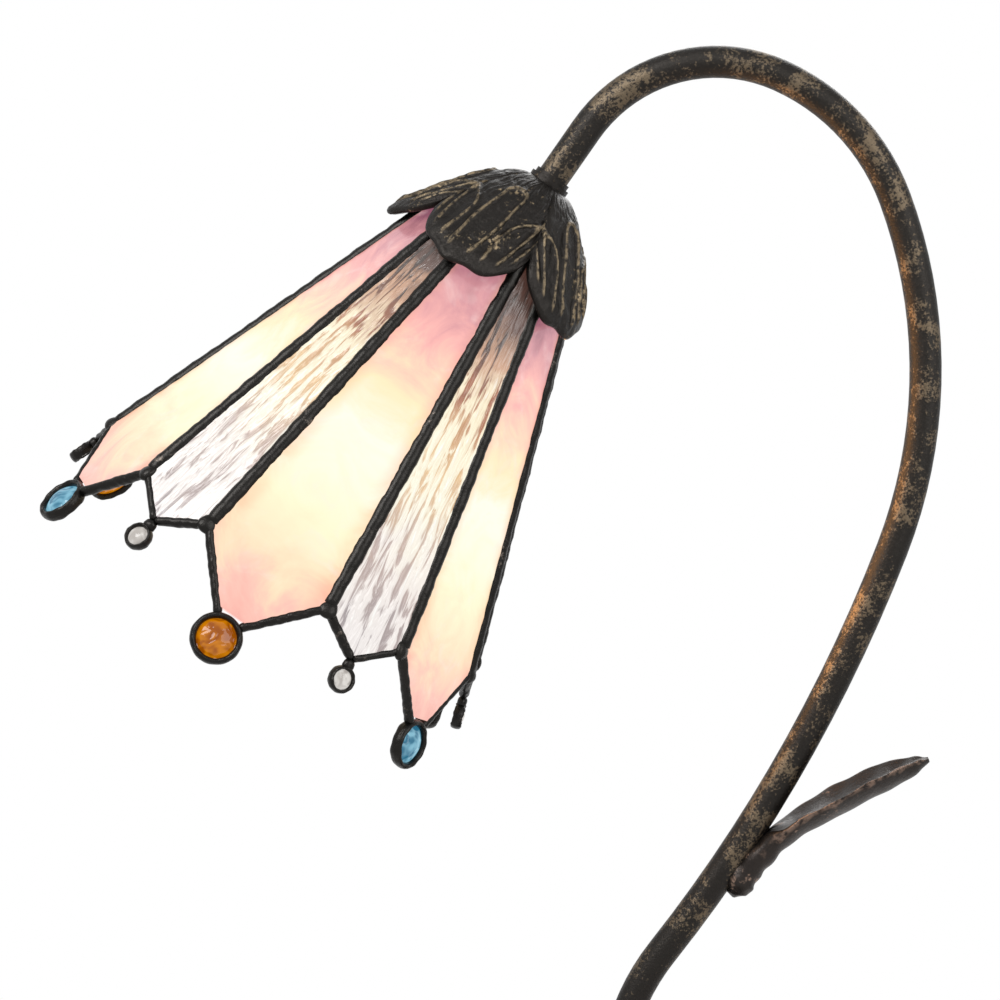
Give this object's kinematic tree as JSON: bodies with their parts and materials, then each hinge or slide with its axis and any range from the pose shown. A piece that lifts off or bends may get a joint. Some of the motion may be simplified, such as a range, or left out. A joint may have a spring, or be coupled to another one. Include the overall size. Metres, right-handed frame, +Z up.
{
  "type": "table lamp",
  "caption": "Table lamp with a bent stem, a cast petal cap and leaf, and a downturned tulip shade of flat pink and clear glass panels with jewel tips.",
  "frame": {"origin": "centre of the felt pad's underside, on the table", "axes": "+Z up; the stem and the shade's axis lie in the XZ plane, with the shade towards -X; -Y faces the picture's viewer"},
  "size_m": [0.3526, 0.201, 0.4781],
  "materials": {
    "pink_glass": "streaky pink and cream opal sheet glass",
    "clear_glass": "colourless rippled glass",
    "amber_glass": "polished amber jewel",
    "blue_glass": "polished blue jewel",
    "solder": "black patina on lumpy solder",
    "bronze_tube": "antique bronze, rubbed gold flecks",
    "bronze_casting": "antique bronze, gold-rubbed relief",
    "lead_plastic": "two-core lead",
    "zinc_steel": "zinc plated",
    "brass_sheet": "pressed brass, aged",
    "holder_plastic": "black phenolic",
    "liner_board": "insulating board",
    "aluminium_shell": "rolled thread",
    "solder_tip": "solder tip",
    "black_glass": "black glass insulator",
    "bulb_glass": "clear globe",
    "filament": "glowing filament",
    "weight_iron": "raw cast iron",
    "felt": "dark green felt",
    "block_ceramic": "unglazed block"
  },
  "bodies": {
    "lamp": {"pink_panel_1": "pink_glass", "pink_panel_2": "pink_glass", "pink_panel_3": "pink_glass", "pink_panel_4": "pink_glass", "pink_panel_5": "pink_glass", "pink_panel_6": "pink_glass", "clear_panel_1": "clear_glass", "clear_panel_2": "clear_glass", "clear_panel_3": "clear_glass", "clear_panel_4": "clear_glass", "clear_panel_5": "clear_glass", "clear_panel_6": "clear_glass", "seam_frame_1": "solder", "seam_frame_2": "solder", "seam_frame_3": "solder", "seam_frame_4": "solder", "seam_frame_5": "solder", "seam_frame_6": "solder", "tip_frames": "solder", "amber_jewel_1": "amber_glass", "amber_jewel_2": "amber_glass", "amber_jewel_3": "amber_glass", "blue_jewel_1": "blue_glass", "blue_jewel_2": "blue_glass", "blue_jewel_3": "blue_glass", "clear_jewels": "clear_glass", "stem_tube": "bronze_tube", "collar_ring": "bronze_tube", "petal_cap": "bronze_casting", "leaf": "bronze_casting", "base_casting": "bronze_casting", "stem_lead": "lead_plastic", "shade_nipple": "zinc_steel", "spacer_sleeve": "zinc_steel", "shade_plate": "brass_sheet", "shade_lock_nut": "zinc_steel", "holder_cap": "brass_sheet", "holder_shell": "brass_sheet", "holder_body": "holder_plastic", "holder_liner": "liner_board", "screw_shell": "aluminium_shell", "centre_contact": "brass_sheet", "terminal_screws": "brass_sheet", "base_nipple": "zinc_steel", "base_lock_nut": "zinc_steel", "base_washer": "zinc_steel", "base_weight": "weight_iron", "base_cover": "zinc_steel", "felt_pad": "felt", "cord_bushing": "holder_plastic", "terminal_block": "block_ceramic"},
    "bulb_carrier": {"bulb_contact": "solder_tip"},
    "bulb": {"bulb_insulator": "black_glass", "bulb_shell": "aluminium_shell", "bulb_glass": "bulb_glass", "bulb_mount": "bulb_glass", "bulb_filaments": "filament"},
    "key": {"switch_key": "holder_plastic"}
  },
  "joints": [
    {"name": "bulb_rise", "type": "slide", "parent": "lamp", "child": "bulb_carrier", "axis": [-0.5736, 0, -0.8192], "range_m": [0, 0.0109]},
    {"name": "bulb_screw", "type": "hinge", "parent": "bulb_carrier", "child": "bulb", "pos_m": [-0.05943, 0, 0.37766], "axis": [-0.5736, 0, -0.8192], "range_deg": [0, 1080]},
    {"name": "switch_key", "type": "hinge", "parent": "lamp", "child": "key", "pos_m": [-0.05604, 0, 0.38249], "axis": [0, 1, 0], "continuous": true}
  ],
  "couplings": [
    {"joint": "bulb_rise", "follows": "bulb_screw", "m_per_rad": 0.00057757}
  ]
}
